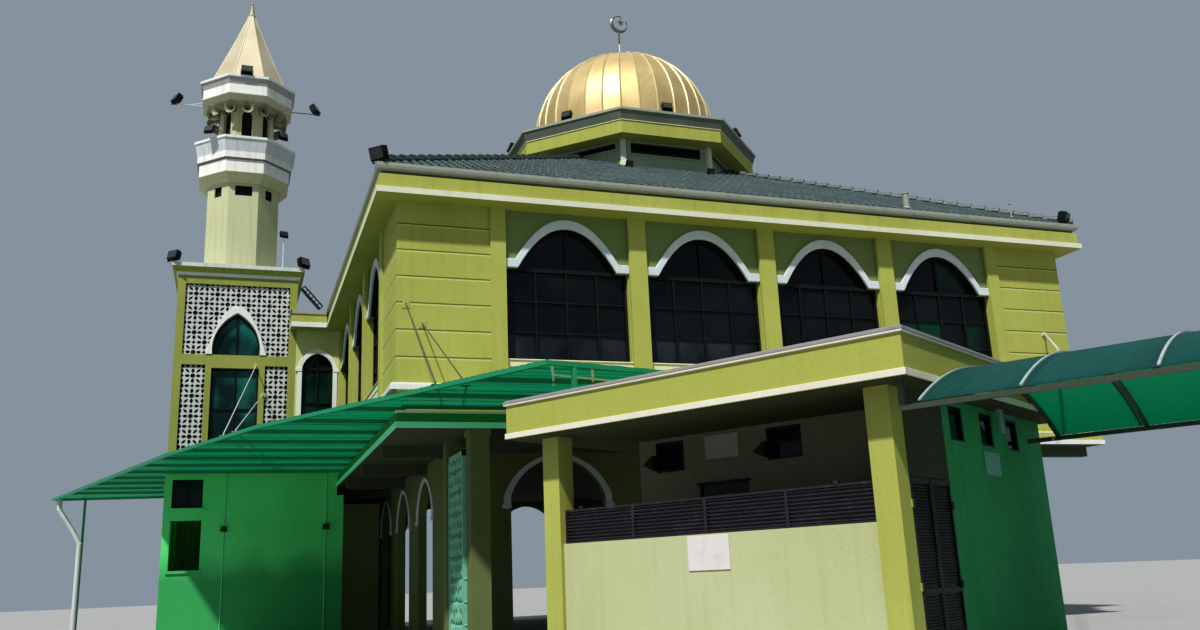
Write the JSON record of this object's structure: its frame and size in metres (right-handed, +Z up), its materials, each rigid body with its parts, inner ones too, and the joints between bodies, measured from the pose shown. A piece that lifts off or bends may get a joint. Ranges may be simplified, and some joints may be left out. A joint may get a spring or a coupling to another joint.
{
  "type": "mosque building",
  "caption": "Mosque with a domed square prayer hall on arches, a joined minaret, a green awning and a small street annex with a curved canopy.",
  "frame": {"origin": "ground level under the middle of the prayer hall, on the underside of its floor slab", "axes": "+Z up; -Y out of the hall front towards the street side; +X to the right as seen from the street"},
  "size_m": [26.59, 35.5972, 22.166],
  "materials": {
    "floor_concrete": "smooth floor screed",
    "lime_paint": "rendered masonry, matt lime-green paint",
    "lime_trim_paint": "rendered concrete, matt lime-green paint",
    "pale_lime_paint": "rendered masonry, pale green paint",
    "cream_paint": "rendered concrete, cream-green paint",
    "white_paint": "rendered concrete, white paint",
    "green_shade_paint": "rendered masonry, mid-green paint",
    "roof_tile": "interlocking tiles, satin dark green",
    "gold_cladding": "thin gold-coloured metal cladding",
    "window_glass": "dark tinted sheet glass",
    "green_sheet": "translucent emerald roofing sheet",
    "steel_paint": "grey painted steel tube",
    "black_metal": "satin black paint"
  },
  "bodies": {
    "building": {"ground_floor_slab": "floor_concrete", "ground_front_wall": "lime_paint", "ground_back_wall": "lime_paint", "ground_left_wall": "lime_paint", "ground_right_wall": "lime_paint", "verandah_screen_post": "lime_paint", "verandah_column_1": "lime_paint", "verandah_column_2": "lime_paint", "verandah_column_3": "lime_paint", "hall_front_wall": "lime_paint", "hall_right_wall": "lime_paint", "hall_back_wall": "lime_paint", "hall_left_wall": "lime_paint", "lantern_drum": "lime_paint", "minaret_base": "lime_paint", "link_back_wall": "lime_paint", "annex_left_column": "lime_paint", "annex_right_column": "lime_paint", "annex_room_walls": "lime_paint", "first_floor_slab": "lime_trim_paint", "hall_eave": "lime_trim_paint", "lantern_eave": "lime_trim_paint", "minaret_cornice": "lime_trim_paint", "link_roof": "lime_trim_paint", "annex_roof": "lime_trim_paint", "link_front_wall": "pale_lime_paint", "annex_low_wall": "pale_lime_paint", "annex_inner_wall": "pale_lime_paint", "minaret_shaft": "cream_paint", "minaret_turret": "cream_paint", "verandah_lattice_screen": "white_paint", "minaret_lattice": "white_paint", "minaret_balcony": "white_paint", "minaret_top_cornice": "white_paint", "side_room_front_wall": "green_shade_paint", "side_room_left_wall": "green_shade_paint", "side_room_right_wall": "green_shade_paint", "annex_side_wall": "green_shade_paint", "annex_wall_over_door": "green_shade_paint", "hall_tiled_roof": "roof_tile", "dome": "gold_cladding", "minaret_spire": "gold_cladding", "hall_window_glass": "window_glass", "lantern_window_glass": "window_glass", "minaret_window_glass": "window_glass", "link_window_glass": "window_glass", "awning_sheet": "green_sheet", "canopy_sheet": "green_sheet", "awning_frame": "steel_paint", "awning_stay_1": "steel_paint", "awning_stay_2": "steel_paint", "awning_stay_3": "steel_paint", "awning_stay_4": "steel_paint", "canopy_frame": "steel_paint", "dome_finial": "steel_paint", "annex_louvre_band": "black_metal"},
    "front_leaf": {"annex_door_front_leaf": "black_metal"},
    "rear_leaf": {"annex_door_rear_leaf": "black_metal"}
  },
  "joints": [
    {"name": "front_leaf_hinge", "type": "hinge", "parent": "building", "child": "front_leaf", "pos_m": [-4.65551, -19.76454, 0.9], "axis": [0, 0, 1], "range_deg": [-100, 0]},
    {"name": "rear_leaf_hinge", "type": "hinge", "parent": "building", "child": "rear_leaf", "pos_m": [-3.67153, -19.18493, 0.9], "axis": [0, 0, 1], "range_deg": [0, 100]}
  ]
}
